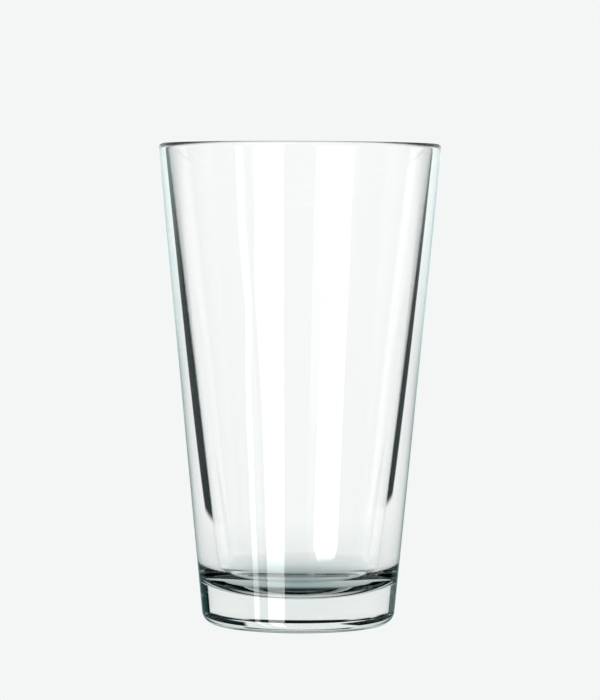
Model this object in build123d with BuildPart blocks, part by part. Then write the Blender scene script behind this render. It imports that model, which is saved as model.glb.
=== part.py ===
from build123d import *

import os
from math import atan, cos, degrees, radians, sin, sqrt

# A bar mixing glass of 16 US fl oz, the glass half of a Boston shaker.
#
# One revolved solid: a straight tapered wall that thickens towards the base, a
# thick base under a bowl-shaped cavity floor, a rounded heel, a shallow hollow
# under the base and a rounded lip. Millimetres and degrees, +Z up, origin at
# the centre of the circle it stands on.

# ---- outside ---------------------------------------------------------------
HEIGHT = 150.0  # standing plane to the top of the lip
RIM_RADIUS = 44.2  # outer wall line carried up to the lip's plane
BASE_RADIUS = 29.8  # outer wall line carried down to the standing plane
HEEL_ROUND = 4.2  # between the wall and the standing ring

# ---- lip -------------------------------------------------------------------
LIP_THICKNESS = 2.75  # across the wall, level, before rounding
LIP_OUTER_ROUND = 1.5
LIP_INNER_ROUND = 1.0

# ---- cavity floor; slopes are from level -----------------------------------
FLOOR_HEIGHT = 9.65  # standing plane to the middle of the cavity floor
FLOOR_RADIUS = 24.2  # inner wall line carried down to FLOOR_HEIGHT
DISH_RADIUS = 80.0  # arc of the floor's shallow middle
DISH_SLOPE = 8.0  # where the dish ends and the bowl begins
BOWL_RADIUS = 32.0  # arc of the floor's steeper outer part
BOWL_SLOPE = 27.0  # where the bowl ends and the corner begins

# ---- hollow under the base -------------------------------------------------
RING_INNER_RADIUS = 20.5  # inside edge of the flat standing ring, before rounding
HOLLOW_DEPTH = 1.4  # at the centre
RING_EDGE_ROUND = 6.0  # softens the ring's inside edge

# ---- derived ---------------------------------------------------------------
MOUTH_RADIUS = RIM_RADIUS - LIP_THICKNESS
WALL_LEAN = (MOUTH_RADIUS - FLOOR_RADIUS) / (HEIGHT - FLOOR_HEIGHT)  # outward per mm up
WALL_SLOPE = 90.0 - degrees(atan(WALL_LEAN))  # inner wall, from level

# A point halfway out along the hollow's arc
HOLLOW_ARC_RADIUS = (RING_INNER_RADIUS**2 + HOLLOW_DEPTH**2) / (2 * HOLLOW_DEPTH)
HOLLOW_MID_X = RING_INNER_RADIUS / 2
HOLLOW_MID_Z = HOLLOW_DEPTH - HOLLOW_ARC_RADIUS + sqrt(HOLLOW_ARC_RADIUS**2 - HOLLOW_MID_X**2)


def corner_arc_radius(start):
    """Radius of the arc from the bowl's end that meets the inner wall line at a tangent."""
    start_slope, end_slope = radians(BOWL_SLOPE), radians(WALL_SLOPE)
    gap = FLOOR_RADIUS + WALL_LEAN * (start.Y - FLOOR_HEIGHT) - start.X
    # Per unit of radius, the arc's run outward and its rise
    run = sin(end_slope) - sin(start_slope)
    rise = cos(start_slope) - cos(end_slope)
    return gap / (run - WALL_LEAN * rise)


def round_corner(section, radius, height, size):
    """Fillet the section's vertex nearest to a radius and height."""
    point = Vector(radius, height, 0)
    fillet(section.vertices().sort_by_distance(point)[0], size)


def build_tumbler():
    """Revolve the half section; its sketch x is the radius and its y the height."""
    with BuildPart() as tumbler:
        with BuildSketch(Plane.XZ) as section:
            with BuildLine():
                # Hollow under the base
                ThreePointArc(
                    (0, HOLLOW_DEPTH),
                    (HOLLOW_MID_X, HOLLOW_MID_Z),
                    (RING_INNER_RADIUS, 0),
                )
                # Standing ring, outer wall and lip
                Polyline(
                    (RING_INNER_RADIUS, 0),
                    (BASE_RADIUS, 0),
                    (RIM_RADIUS, HEIGHT),
                    (MOUTH_RADIUS, HEIGHT),
                )
                # Cavity floor: dish, bowl and corner, each tangent to the next
                dish = JernArc((0, FLOOR_HEIGHT), (1, 0), DISH_RADIUS, DISH_SLOPE)
                bowl = JernArc(dish @ 1, dish % 1, BOWL_RADIUS, BOWL_SLOPE - DISH_SLOPE)
                corner = JernArc(
                    bowl @ 1,
                    bowl % 1,
                    corner_arc_radius(bowl @ 1),
                    WALL_SLOPE - BOWL_SLOPE,
                )
                # Inner wall, then the axis through the base
                Line(corner @ 1, (MOUTH_RADIUS, HEIGHT))
                Line((0, FLOOR_HEIGHT), (0, HOLLOW_DEPTH))
            make_face()
            round_corner(section, RING_INNER_RADIUS, 0, RING_EDGE_ROUND)
            round_corner(section, BASE_RADIUS, 0, HEEL_ROUND)
            round_corner(section, RIM_RADIUS, HEIGHT, LIP_OUTER_ROUND)
            round_corner(section, MOUTH_RADIUS, HEIGHT, LIP_INNER_ROUND)
        revolve(axis=Axis.Z)
    tumbler.part.label = "tumbler"
    return tumbler.part


os.makedirs("parts", exist_ok=True)
export_step(build_tumbler(), "parts/tumbler.step")
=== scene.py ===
"""A clear mixing glass in a small bright-field studio.

The glass is one closed turned mesh. It stands on z = 0 with its axis on z, and takes the place of the CAD part
"tumbler". The studio hangs on a rig that turns with the camera: x to the right, y away from the camera.
"""

import math

import bpy
import numpy as np
from mathutils import Euler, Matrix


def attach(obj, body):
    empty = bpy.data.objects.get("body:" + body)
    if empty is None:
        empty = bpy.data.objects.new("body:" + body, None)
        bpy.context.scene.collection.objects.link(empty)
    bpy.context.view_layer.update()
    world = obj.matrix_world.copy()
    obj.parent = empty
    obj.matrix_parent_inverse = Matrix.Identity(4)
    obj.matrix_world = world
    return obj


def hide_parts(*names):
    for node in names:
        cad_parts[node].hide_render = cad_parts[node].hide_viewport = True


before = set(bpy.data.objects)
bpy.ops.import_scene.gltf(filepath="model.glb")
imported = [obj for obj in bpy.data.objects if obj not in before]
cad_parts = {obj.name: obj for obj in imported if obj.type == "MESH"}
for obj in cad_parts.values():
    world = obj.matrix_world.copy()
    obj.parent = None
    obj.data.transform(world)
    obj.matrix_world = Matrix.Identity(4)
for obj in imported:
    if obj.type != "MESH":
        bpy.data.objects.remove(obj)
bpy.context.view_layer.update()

# ---------------------------------------------------------------- dimensions, mm
MM = 0.001
HEIGHT = 150.0
RIM_RADIUS = 44.2
BASE_RADIUS = 29.8
HEEL_RADIUS = 4.2  # the round between the underside and the wall
LIP_THICKNESS = 2.75
LIP_OUTER_ROUND = 1.5
LIP_INNER_ROUND = 1.0
FLOOR_RADIUS = 24.2  # where the cavity wall's line would meet the floor's level
FLOOR_HEIGHT = 9.65
DISH_RADIUS = 80.0  # the middle of the cavity floor
DISH_ANGLE = 8.0  # its slope in degrees where the bowl takes over
BOWL_RADIUS = 32.0
BOWL_ANGLE = 27.0  # its slope in degrees where the corner takes over
RING_INNER_RADIUS = 20.5  # the ring the glass stands on
PUNT_DEPTH = 1.4  # the hollow under the base
PUNT_EDGE_ROUND = 6.0

SEGMENTS = 288


# ---------------------------------------------------------------- section
def unit(vector):
    return vector / np.linalg.norm(vector)


def line_points(start, end, step):
    count = max(1, int(math.ceil(np.linalg.norm(end - start) / step)))
    return [start + (end - start) * i / count for i in range(count + 1)]


def arc_points(centre, radius, angle0, angle1, step):
    count = max(2, int(math.ceil(abs(angle1 - angle0) * radius / step)))
    angles = [angle0 + (angle1 - angle0) * i / count for i in range(count + 1)]
    return [centre + radius * np.array([math.cos(a), math.sin(a)]) for a in angles]


def arc_between(centre, radius, start, end, step):
    """The arc from start to end, which must not cross the direction of -r from its centre."""
    angle0, angle1 = (math.atan2(*(point - centre)[::-1]) for point in (start, end))
    return arc_points(centre, radius, angle0, angle1, step)


def corner_round(before, corner, after, radius):
    """Centre and the two touching points of a round of that radius in the corner."""
    back, ahead = unit(before - corner), unit(after - corner)
    half = math.acos(np.clip(back @ ahead, -1, 1)) / 2
    reach = radius / math.tan(half)
    centre = corner + unit(back + ahead) * radius / math.sin(half)
    return centre, corner + back * reach, corner + ahead * reach


def punt_points():
    """The dome under the base, and the round from it to the ring, centred inside the glass."""
    radius = (RING_INNER_RADIUS**2 + PUNT_DEPTH**2) / (2 * PUNT_DEPTH)
    top = np.array([0.0, PUNT_DEPTH])
    centre = np.array([0.0, PUNT_DEPTH - radius])
    # the round touches the dome from outside and the table's level from above
    rise = PUNT_EDGE_ROUND - centre[1]
    edge_r = math.sqrt((radius + PUNT_EDGE_ROUND) ** 2 - rise**2)
    edge = np.array([edge_r, PUNT_EDGE_ROUND])
    on_dome = centre + unit(edge - centre) * radius
    on_ring = np.array([edge_r, 0.0])
    points = arc_between(centre, radius, top, on_dome, step=0.9)
    return points + arc_between(edge, PUNT_EDGE_ROUND, on_dome, on_ring, step=0.12)[1:]


def cavity_points(start, lip_in, floor):
    """Down the wall from start, then a corner, a bowl and a shallow dish to the axis, each touching the next."""
    dish_angle, bowl_angle = math.radians(DISH_ANGLE), math.radians(BOWL_ANGLE)
    wall = lip_in - floor
    wall_angle = math.atan2(wall[1], wall[0])
    lean = wall[0] / wall[1]

    def tangent_change(angle0, angle1):
        """The way along an arc of radius 1 from one slope to the other."""
        run = math.sin(angle1) - math.sin(angle0)
        return np.array([run, math.cos(angle0) - math.cos(angle1)])

    def centre_above(point, radius, angle):
        return point + radius * np.array([-math.sin(angle), math.cos(angle)])

    middle = np.array([0.0, FLOOR_HEIGHT])
    dish_end = middle + DISH_RADIUS * tangent_change(0.0, dish_angle)
    bowl_end = dish_end + BOWL_RADIUS * tangent_change(dish_angle, bowl_angle)
    run, rise = tangent_change(bowl_angle, wall_angle)
    corner_radius = (floor[0] + lean * (bowl_end[1] - floor[1]) - bowl_end[0]) / (run - lean * rise)
    corner_centre = centre_above(bowl_end, corner_radius, bowl_angle)
    on_wall = corner_centre - centre_above(np.zeros(2), corner_radius, wall_angle)

    points = line_points(start, on_wall, step=1.6)[1:]
    arcs = [
        # centre, radius, slope at the outer end, slope at the inner end, step
        (corner_centre, corner_radius, wall_angle, bowl_angle, 0.12),
        (centre_above(dish_end, BOWL_RADIUS, dish_angle), BOWL_RADIUS, bowl_angle, dish_angle, 0.25),
        (centre_above(middle, DISH_RADIUS, 0.0), DISH_RADIUS, dish_angle, 0.0, 0.9),
    ]
    for centre, radius, outer, inner, step in arcs:
        points += arc_points(centre, radius, outer - math.pi / 2, inner - math.pi / 2, step)[1:]
    return points


def glass_section():
    """Points (r, z) in mm from the centre of the underside, out, up, over the lip and down to the cavity floor."""
    origin = np.array([0.0, 0.0])
    base = np.array([BASE_RADIUS, 0.0])
    rim = np.array([RIM_RADIUS, HEIGHT])
    lip_in = np.array([RIM_RADIUS - LIP_THICKNESS, HEIGHT])
    floor = np.array([FLOOR_RADIUS, FLOOR_HEIGHT])
    corners = [
        # before, corner, after, radius, step along the line to it, step along the round
        (origin, base, rim, HEEL_RADIUS, 0.7, 0.16),
        (base, rim, lip_in, LIP_OUTER_ROUND, 1.6, 0.08),
        (rim, lip_in, floor, LIP_INNER_ROUND, 0.1, 0.07),
    ]
    points = punt_points()
    for before, corner, after, radius, line_step, arc_step in corners:
        centre, start, end = corner_round(before, corner, after, radius)
        points += line_points(points[-1], start, line_step)[1:]
        points += arc_between(centre, radius, start, end, arc_step)[1:]
    points += cavity_points(end, lip_in, floor)
    return np.array(points)


# ---------------------------------------------------------------- objects
def add_object(name, data):
    obj = bpy.data.objects.new(name, data)
    bpy.context.scene.collection.objects.link(obj)
    return obj


def mesh_object(name, verts, faces, material):
    mesh = bpy.data.meshes.new(name)
    mesh.from_pydata(verts, [], faces)
    mesh.materials.append(material)
    return add_object(name, mesh)


def lathe(name, section, segments, material):
    """A closed turned mesh. The first and last points of the section lie on the axis."""
    rings = section[1:-1]
    count = len(rings)
    low_pole, high_pole = count * segments, count * segments + 1
    ring_r, ring_z = np.repeat(rings[:, 0], segments), np.repeat(rings[:, 1], segments)
    around = np.tile(2 * math.pi * np.arange(segments) / segments, count)
    verts = np.empty((count * segments + 2, 3))
    verts[:low_pole, 0] = ring_r * np.cos(around)
    verts[:low_pole, 1] = ring_r * np.sin(around)
    verts[:low_pole, 2] = ring_z
    verts[low_pole] = (0, 0, section[0, 1])
    verts[high_pole] = (0, 0, section[-1, 1])
    verts *= MM
    faces = []
    for i in range(count - 1):
        this, above = i * segments, (i + 1) * segments
        for j in range(segments):
            k = (j + 1) % segments
            faces.append((this + j, this + k, above + k, above + j))
    last = (count - 1) * segments
    for j in range(segments):
        k = (j + 1) % segments
        faces.append((low_pole, k, j))
        faces.append((high_pole, last + j, last + k))
    obj = mesh_object(name, verts.tolist(), faces, material)
    obj.data.validate()
    obj.data.polygons.foreach_set("use_smooth", [True] * len(obj.data.polygons))
    obj.data.update()
    return obj


# ---------------------------------------------------------------- node expressions
class Value:
    """A shader node's output. Arithmetic and comparisons on it add Math nodes to its tree."""

    def __init__(self, socket):
        self.socket = socket

    def __add__(self, other):
        return calculate("ADD", self, other)

    def __radd__(self, other):
        return calculate("ADD", other, self)

    def __sub__(self, other):
        return calculate("SUBTRACT", self, other)

    def __rsub__(self, other):
        return calculate("SUBTRACT", other, self)

    def __mul__(self, other):
        return calculate("MULTIPLY", self, other)

    def __rmul__(self, other):
        return calculate("MULTIPLY", other, self)

    def __truediv__(self, other):
        return calculate("DIVIDE", self, other)

    def __gt__(self, other):
        return calculate("GREATER_THAN", self, other)

    def __lt__(self, other):
        return calculate("LESS_THAN", self, other)

    def __abs__(self):
        return calculate("ABSOLUTE", self)


def add_node(tree, kind, inputs=None, **settings):
    """A new node. Inputs, by name or number, are Values to link or plain values to set."""
    node = tree.nodes.new(kind)
    for key, setting in settings.items():
        setattr(node, key, setting)
    for key, value in (inputs or {}).items():
        if isinstance(value, Value):
            tree.links.new(value.socket, node.inputs[key])
        else:
            node.inputs[key].default_value = value
    return node


def tree_of(*terms):
    return next(term.socket.id_data for term in terms if isinstance(term, Value))


def calculate(operation, *terms, clamp=False):
    inputs = dict(enumerate(terms))
    node = add_node(
        tree_of(*terms), "ShaderNodeMath", inputs, operation=operation, use_clamp=clamp
    )
    return Value(node.outputs[0])


def maximum(first, second):
    return calculate("MAXIMUM", first, second)


def ramp(value, zero_at, one_at):
    """A smooth step from 0 to 1."""
    inputs = {"Value": value, "From Min": zero_at, "From Max": one_at}
    node = add_node(
        value.socket.id_data, "ShaderNodeMapRange", inputs, interpolation_type="SMOOTHSTEP"
    )
    return Value(node.outputs["Result"])


def band(value, low, high, soft):
    """1 between two fixed edges, each soft wide."""
    up = ramp(value, low - soft / 2, low + soft / 2)
    down = ramp(value, high - soft / 2, high + soft / 2)
    return calculate("SUBTRACT", up, down, clamp=True)


def moving_band(value, low, high, soft):
    """The same as band, between edges that may be Values."""
    up = ramp(value - low, -soft / 2, soft / 2)
    down = ramp(value - high, -soft / 2, soft / 2)
    return calculate("SUBTRACT", up, down, clamp=True)


def mix(factor, at_zero, at_one):
    inputs = {0: factor, 6: at_zero, 7: at_one}
    tree = tree_of(factor, at_zero, at_one)
    return Value(add_node(tree, "ShaderNodeMix", inputs, data_type="RGBA").outputs[2])


def axes(vector):
    node = add_node(tree_of(vector), "ShaderNodeSeparateXYZ", {0: vector})
    return [Value(socket) for socket in node.outputs]


def object_coordinates(tree, origin=None):
    """Coordinates in the shaded object's own axes, or in those of origin."""
    return Value(add_node(tree, "ShaderNodeTexCoord", object=origin).outputs["Object"])


def ray_direction(tree):
    """Direction of the ray that meets this point, in the rig's axes."""
    incoming = Value(add_node(tree, "ShaderNodeNewGeometry").outputs["Incoming"])
    turned = add_node(
        tree,
        "ShaderNodeVectorTransform",
        {0: incoming},
        vector_type="VECTOR",
        convert_from="WORLD",
        convert_to="OBJECT",
    )
    return [part * -1.0 for part in axes(Value(turned.outputs[0]))]


DEGREES = 180 / math.pi


def elevation(z):
    return calculate("ARCSINE", z) * DEGREES


def heading(x, ahead):
    """Angle in degrees from straight ahead, + to the right."""
    return calculate("ARCTAN2", x, ahead) * DEGREES


class RayPath:
    """What a ray has met so far."""

    def __init__(self, tree):
        outputs = add_node(tree, "ShaderNodeLightPath").outputs
        self.from_camera = Value(outputs["Is Camera Ray"])
        self.bounces = Value(outputs["Ray Depth"])
        self.reflections = Value(outputs["Glossy Depth"])
        self.crossings = Value(outputs["Transmission Depth"])

    def straight_through(self):
        """1 for rays that crossed just two surfaces and were never reflected."""
        return calculate("COMPARE", self.crossings, 2.0) * (self.reflections < 0.5)


def empty_tree(owner):
    owner.use_nodes = True
    owner.node_tree.nodes.clear()
    return owner.node_tree


def material_output(tree, **shaders):
    add_node(tree, "ShaderNodeOutputMaterial", shaders)


def shader(tree, kind, inputs=None):
    return Value(add_node(tree, kind, inputs).outputs[0])


# ---------------------------------------------------------------- glass
LIP_ROUGHNESS = 0.38
LIP_SOFT_FROM, LIP_SOFT_FULL = 1.6, 0.6  # where the softer lip begins and is full, mm below the rim
BASE_ROUGHNESS = 0.06
BASE_WORN_FULL, BASE_WORN_END = 0.0001, 0.0016  # heights of the scuffed zone, m
WORN_LEAST, WORN_VARIATION = 0.6, 0.8  # share of the base roughness, and what the noise adds
RIPPLE = {"Strength": 0.25, "Distance": 0.0001}
RIPPLE_STRETCH = (1.0, 1.0, 0.45)  # waves longer up the wall than around it


def glass_material():
    """Clear soda-lime glass: polished walls, a softer fire-polished lip, faint scuffs on the standing ring, and the
    slow ripple that pressing leaves in the surface."""
    material = bpy.data.materials.new("clear_glass")
    tree = empty_tree(material)
    place = object_coordinates(tree)
    height = axes(place)[2]
    lip = ramp(height, (HEIGHT - LIP_SOFT_FROM) * MM, (HEIGHT - LIP_SOFT_FULL) * MM)
    base = 1.0 - ramp(height, BASE_WORN_FULL, BASE_WORN_END)
    noise = "ShaderNodeTexNoise"
    scuffs = shader(tree, noise, {"Vector": place, "Scale": 900.0, "Detail": 3.0})
    worn = base * (WORN_LEAST + scuffs * WORN_VARIATION)
    roughness = lip * LIP_ROUGHNESS + worn * BASE_ROUGHNESS
    stretched = shader(tree, "ShaderNodeMapping", {"Vector": place, "Scale": RIPPLE_STRETCH})
    ripple = shader(tree, noise, {"Vector": stretched, "Scale": 55.0, "Detail": 1.0})
    surface = {
        "Base Color": (1, 1, 1, 1),
        "Transmission Weight": 1.0,
        "IOR": 1.517,
        "Roughness": roughness,
        "Normal": shader(tree, "ShaderNodeBump", {**RIPPLE, "Height": ripple}),
    }
    tint = {"Color": (0.30, 0.38, 0.36, 1), "Density": 7.0}
    material_output(
        tree,
        Surface=shader(tree, "ShaderNodeBsdfPrincipled", surface),
        Volume=shader(tree, "ShaderNodeVolumeAbsorption", tint),
    )
    return material


glass = lathe("glass_body", glass_section(), SEGMENTS, glass_material())
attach(glass, "root")
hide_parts("tumbler")

# ---------------------------------------------------------------- studio
# A lit sweep behind the glass, dark to both sides and above, with tall light boxes at the front. The table glows
# with painted light: a ray that meets it sees a painted reflection of the boxes, a painted pool of light and the
# glass's painted shadow. Angles are in degrees, places in metres.
rig = add_object("studio_rig", None)

PAPER = (0.905, 0.922, 0.922, 1)  # what the camera sees directly
LIT = (1.135, 1.16, 1.15, 1)
DARK = (0.0010, 0.0095, 0.0110, 1)
BLACK = (0, 0, 0, 1)
BOX = (6.4, 6.6, 6.5, 1)
BOX_INSIDE = 0.12  # what is left of a box for a ray that has been inside the glass
ECHO = 0.11  # what is left of the light after more than one reflection inside the glass
THRICE = 0.50  # the same for three reflections inside the base
SIDE = 0.55  # share of the full light beyond the dark strips to the left and right
DUSK = (0.0, 0.15, 0.15, 1)  # the pool's colour where the glass shades it
MIRROR = (0.66, 0.90, 0.90, 1)  # the backdrop mirrored on the outside of the glass
MIRROR_DUSK = (0.080, 0.150, 0.158, 1)  # the shaded table mirrored there
GRAZING = 0.35  # share of the backdrop mirrored nearly straight away from the camera
TOP = 0.68  # light high up behind the glass, for rays turned round inside the base
ECHO_BACKDROP = 0.2  # light behind the glass for every echo
LEFT_GREY = 0.16  # light to the left of the sweep
HEEL_STRIP = 0.9  # light high up at both sides, for rays that leave the heel steeply
ONE_WALL = 0.84  # share of the light for rays that come down steeply through one wall
GAP_SHADE = 0.9  # light lost between the hollow base and the table

# distance in metres, share of the pool's light that reaches the table there
SHADE = [
    (0.0, 0.12), (0.012, 0.16), (0.018, 0.25), (0.022, 0.33), (0.027, 0.39),
    (0.031, 0.44), (0.036, 0.48), (0.041, 0.545), (0.047, 0.62), (0.054, 0.69),
    (0.072, 0.77), (0.103, 0.825), (0.163, 0.91), (0.25, 1.0),
]
SHADE_SCALE = 1 / SHADE[-1][0]  # the colour ramp runs from 0 to 1 over the table


def light_boxes(x, y, z):
    """How much of a light box a ray sees, from its direction. The edges are a little uneven, as on cloth-fronted
    boxes."""
    rise = abs(elevation(z))
    turn = heading(x, y * -1.0)  # 0 towards the camera

    def tent(centre, half):
        return calculate("SUBTRACT", 1.0, abs(rise - centre) / half, clamp=True)

    # front left: the left edge bulges at one height, the right edge leans out to a limit
    left = -36.2 - tent(centre=11.7, half=2.4) * 4.2
    right = maximum(-10.5 - rise * 0.315, -20.0)
    main = moving_band(turn, left, right, soft=0.6)
    # a dimmer slit to the left of it, shifted at the same height and wider higher up
    shift = tent(centre=11.7, half=1.5) * 3.6
    slit_right = -47.8 + shift + ramp(rise, 15.4, 16.6)
    slit = moving_band(turn, -53.6 + shift, slit_right, soft=1.2)
    main = maximum(main, slit * 0.75) * band(rise, low=4.0, high=60.0, soft=1.0)

    # front right: the left edge leans out above 12 degrees, the curved top drops at its corners
    left = 21.0 - maximum(rise - 12.0, 0.0) * 0.9
    top = 17.07 - turn * turn * 0.00042
    corner_drop = ramp(abs(turn - 31.0), 9.0, 14.0) * 0.22
    below_top = 1.0 - ramp(rise - (top - corner_drop), -0.06, 0.06)
    fill = moving_band(turn, left, 44.1, soft=0.6) * below_top * ramp(rise, 3.5, 4.5)

    # far right: faint and leaning, 8 degrees wide
    middle = 102.5 - (rise - 6.6) * 2.7
    side = moving_band(turn, middle - 4.0, middle + 4.0, soft=5.0)
    side = side * 0.13 * band(rise, low=5.0, high=14.5, soft=1.0)
    return maximum(maximum(main, fill), side)


def after_echoes(light, path, echo):
    """Full light for up to one inner reflection, a little more for three inside the base than for other echoes."""
    thrice = calculate("COMPARE", path.reflections, 3.0) * (path.crossings < 2.5)
    remaining = ECHO + thrice * (THRICE - ECHO)
    return light * (1.0 - echo * (1.0 - remaining))


def mirrored(aside, level):
    """What the outside of the glass mirrors: the backdrop near the horizon, the pale ceiling, which only the lip
    turns up to, and the dusky table. aside is the angle from straight away from the camera."""
    far = ramp(level, -6.5, -2.5) * (1.0 - ramp(aside, 45.0, 60.0))
    grazing = (1.0 - ramp(aside, 14.0, 24.0)) * GRAZING
    dusk = mix(1.0 - ramp(aside, 38.0, 46.0), DARK, MIRROR_DUSK)
    ceiling = ramp(level, 3.0, 12.0)
    return mix(maximum(maximum(far, grazing), ceiling), dusk, MIRROR)


def seen_colour(inner, path, ray, aside, level):
    """inner for rays from inside the glass, the mirror image for a first bounce, the boxes over both at full
    strength for a first bounce and as a trace otherwise, and plain paper for the camera."""
    first = path.bounces < 1.5
    colour = mix(first, inner, mirrored(aside, level))
    # on the table the boxes are a painted reflection; in the world shader they are the lamps themselves
    boxes = light_boxes(*ray) * (first * (1.0 - BOX_INSIDE) + BOX_INSIDE)
    return mix(path.from_camera, mix(boxes, colour, BOX), PAPER)


def table_pool(x, y):
    """The light pool, which opens away from the camera on both sides, a little wider to the right."""
    depth = maximum(y, 0.0)
    soft = 0.005 + depth * 0.015
    left = maximum(0.138, 0.067 + depth * 0.573)  # least half width, or start and slope
    right = maximum(0.158, 0.068 + depth * 0.679)
    over = maximum(x - right, x * -1.0 - left)
    near = (1.0 - ramp(over / soft, -1.0, 1.0)) * ramp(y, -0.05, -0.02)
    spread = abs(x) / maximum(y, 0.01)  # the far part is a wedge
    far = ramp(y, 1.7, 1.85) * ramp(spread, 1.56, 1.48)
    return maximum(near, far)


def table_glow(x, y):
    """Share of the light on the table, which the glass shades under and just behind itself."""
    back = y - 0.007  # the shade's centre lies behind the axis
    across = x * 1.7  # and it is narrower than it is deep
    distance = calculate("SQRT", across * across + back * back)
    node = add_node(tree_of(x), "ShaderNodeValToRGB", {0: distance * SHADE_SCALE})
    stops = node.color_ramp
    stops.interpolation = "LINEAR"
    for i, (place, light) in enumerate(SHADE):
        position = place * SHADE_SCALE
        stop = stops.elements[i] if i < 2 else stops.elements.new(position)
        stop.position = position
        stop.color = (light, light, light, 1)
    return Value(node.outputs[0])


def floor_material():
    material = bpy.data.materials.new("floor_paper_painted_light")
    tree = empty_tree(material)
    x, y, _ = axes(object_coordinates(tree))
    path = RayPath(tree)
    ray = ray_direction(tree)
    ray_x, ray_y, ray_z = ray
    aside = abs(calculate("ARCTAN2", ray_x, ray_y)) * DEGREES
    level = elevation(ray_z)
    # hardly any light reaches the gap between the hollow base and the table
    radius = calculate("SQRT", x * x + y * y)
    gap = (1.0 - ramp(radius, 0.012, 0.021)) * GAP_SHADE
    gap = 1.0 - gap * (path.reflections > 0.5)
    # light beyond the dark strips, for falling rays; it starts further aside for steeper ones
    side_start = 51.5 + maximum(-11.5 - level, 0.0) * 1.6
    beyond = ramp(aside - side_start, -1.5, 1.5) * ramp(ray_z, -0.13, -0.16)
    beyond = beyond * (1.0 - ramp(aside, 98.0, 102.0))
    light = maximum(table_pool(x, y), beyond * SIDE)
    light = after_echoes(light, path, echo=path.reflections > 1.5)
    shade = mix(light * gap, DARK, mix(table_glow(x, y), DUSK, LIT))
    # seen from above through one wall only, over the rim, the table is less bright
    once = (path.crossings < 2.5) * ramp(ray_z, -0.16, -0.30)
    shade = mix(once, shade, mix(1.0 - ONE_WALL, shade, BLACK))
    colour = seen_colour(shade, path, ray, aside, level)
    # the table glows: for rays from the glass its colour is painted light (a painted pool, the glass's painted
    # shadow, painted reflections of the boxes); the camera sees plain paper
    material_output(tree, Surface=shader(tree, "ShaderNodeEmission", {0: colour}))
    return material


def flag_material():
    """Black only for rays that cross the solid base and leave it upwards to either side: a sheet of painted shade,
    clear to all other rays. It darkens the ends of the crescent along the heel."""
    material = bpy.data.materials.new("flag_painted_shade")
    tree = empty_tree(material)
    height = axes(object_coordinates(tree))[2]
    ray_x, ray_y, ray_z = ray_direction(tree)
    turn = heading(ray_x, ray_y)
    rise = elevation(ray_z)
    sides = maximum(ramp(turn, 22.0, 25.0), ramp(turn, -16.5, -19.5))
    # the lower edge, in metres, climbs with the ray's rise and turn, and for the lowest rays
    wide_turn = maximum(abs(turn) - 35.0, 0.0)
    bottom = 0.00353 + rise * 0.000085 + wide_turn * 0.000028
    bottom = bottom + (1.0 - ramp(rise, 4.5, 7.0)) * 0.0004
    steep_left = maximum(rise - 12.0, 0.0) * ramp(turn, -38.0, -44.0)
    bottom = bottom + steep_left * 0.00004
    above = ramp(height - bottom, -0.0001, 0.0001)
    # the upper edge drops towards the middle for rays to the left
    inward = maximum(turn + 30.0, 0.0) * (turn < 0.0)
    top = 0.0124 - inward * 0.0006
    below = ramp(height - top, 0.0006, -0.0006)
    black = above * below * (sides * ramp(rise, 3.5, 4.5))
    shaders = {
        0: black * RayPath(tree).straight_through(),
        1: shader(tree, "ShaderNodeBsdfTransparent"),
        2: shader(tree, "ShaderNodeEmission", {0: DARK}),
    }
    material_output(tree, Surface=shader(tree, "ShaderNodeMixShader", shaders))
    return material


FLOOR_HALF = 30
FLOOR_Z = -0.00005  # just clear of the glass
FLAG_RADIUS = 0.036
FLAG_HEIGHTS = (0.003, 0.014)
FLAG_ANGLES = range(-110, 111, 4)  # degrees from straight behind the glass


def add_floor():
    corners = [(-1, -1), (1, -1), (1, 1), (-1, 1)]
    verts = [(FLOOR_HALF * x, FLOOR_HALF * y, FLOOR_Z) for x, y in corners]
    floor = mesh_object("floor", verts, [(0, 1, 2, 3)], floor_material())
    floor.parent = rig


def add_flag():
    """A low strip of a cylinder close around the base, open towards the camera, carrying painted shade."""
    angles = [math.radians(angle) for angle in FLAG_ANGLES]
    verts = [
        (FLAG_RADIUS * math.sin(angle), FLAG_RADIUS * math.cos(angle), z)
        for angle in angles
        for z in FLAG_HEIGHTS
    ]
    faces = [(2 * i, 2 * i + 2, 2 * i + 3, 2 * i + 1) for i in range(len(angles) - 1)]
    flag = mesh_object("flag", verts, faces, flag_material())
    flag.visible_camera = False
    flag.parent = rig


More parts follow.
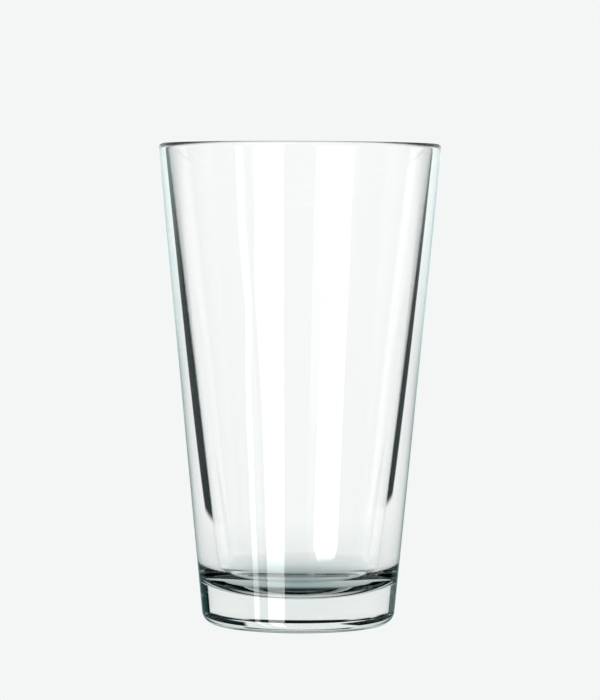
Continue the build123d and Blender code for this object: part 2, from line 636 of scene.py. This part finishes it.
def add_world():
    """The sweep behind the glass, and the lights that only some inner rays see."""
    world = bpy.data.worlds.new("studio")
    bpy.context.scene.world = world
    tree = empty_tree(world)
    ray = axes(object_coordinates(tree, rig))
    x, y, z = ray
    level = elevation(z)
    behind = heading(x, y)  # 0 straight behind the glass
    aside = abs(behind)
    path = RayPath(tree)
    echo = path.reflections > 1.5
    wide = band(behind, -60.5, 56.5, soft=2.0) * band(level, -30.0, 15.0, soft=3.0)
    tall = band(behind, -28.0, 28.0, soft=1.0) * band(level, -30.0, 21.5, soft=3.0)
    grey = LEFT_GREY * band(behind, -100.0, -60.5, soft=2.0)
    lit = after_echoes(maximum(maximum(wide, tall), grey), path, echo)
    # behind the glass, for echoes
    middle = 1.0 - ramp(aside, 5.0, 45.0)
    twice = echo * (path.reflections < 2.5) * (path.crossings < 2.5)
    top = band(level, -5.0, 64.0, soft=5.0) * TOP * twice
    more = band(level, -5.0, 27.0, soft=5.0) * ECHO_BACKDROP * echo
    lit = maximum(lit, maximum(top, more) * middle)
    # for rays straight through: a strip of light high up at both sides, dark high up between
    straight = path.straight_through()
    strip = band(level, 12.0, 33.0, soft=3.0) * ramp(aside, 22.0, 28.0) * straight
    lit = maximum(lit, strip * HEEL_STRIP)
    upper = ramp(level, 18.5, 22.0) * (1.0 - ramp(aside, 22.0, 28.0)) * straight
    lit = lit * (1.0 - upper)
    colour = seen_colour(mix(lit, DARK, LIT), path, ray, aside, level)
    background = shader(tree, "ShaderNodeBackground", {"Color": colour})
    add_node(tree, "ShaderNodeOutputWorld", {0: background})


add_floor()
add_flag()
add_world()

# ---------------------------------------------------------------- camera
CAMERA_PLACE = (0.00023, -1.027, 0.130)
CAMERA_TILT = 2.475  # degrees below the horizon
CAMERA_ROLL = 0.23  # degrees
FOCAL_LENGTH = 169.0971429  # mm
SENSOR_WIDTH = 36.0  # mm


def add_camera():
    data = bpy.data.cameras.new("camera")
    camera = add_object("camera", data)
    bpy.context.scene.camera = camera
    data.sensor_width = SENSOR_WIDTH
    data.lens = FOCAL_LENGTH
    data.clip_start, data.clip_end = 0.05, 100
    camera.location = CAMERA_PLACE
    camera.rotation_mode = "QUATERNION"
    look = Euler((math.radians(90 - CAMERA_TILT), 0, 0)).to_quaternion()
    roll = Euler((0, 0, math.radians(CAMERA_ROLL))).to_quaternion()
    camera.rotation_quaternion = look @ roll
    return camera


# the studio turns with the camera, so that every view has the backdrop behind the glass
track = rig.constraints.new("LOCKED_TRACK")
track.target = add_camera()
track.track_axis = "TRACK_NEGATIVE_Y"
track.lock_axis = "LOCK_Z"

# ---------------------------------------------------------------- render settings
scene = bpy.context.scene
scene.view_settings.view_transform = "Standard"
scene.view_settings.look = "None"
scene.cycles.max_bounces = 24
scene.cycles.transmission_bounces = 24
scene.cycles.glossy_bounces = 16
scene.cycles.diffuse_bounces = 4
scene.cycles.caustics_refractive = True
scene.cycles.caustics_reflective = True
scene.cycles.blur_glossy = 0.0
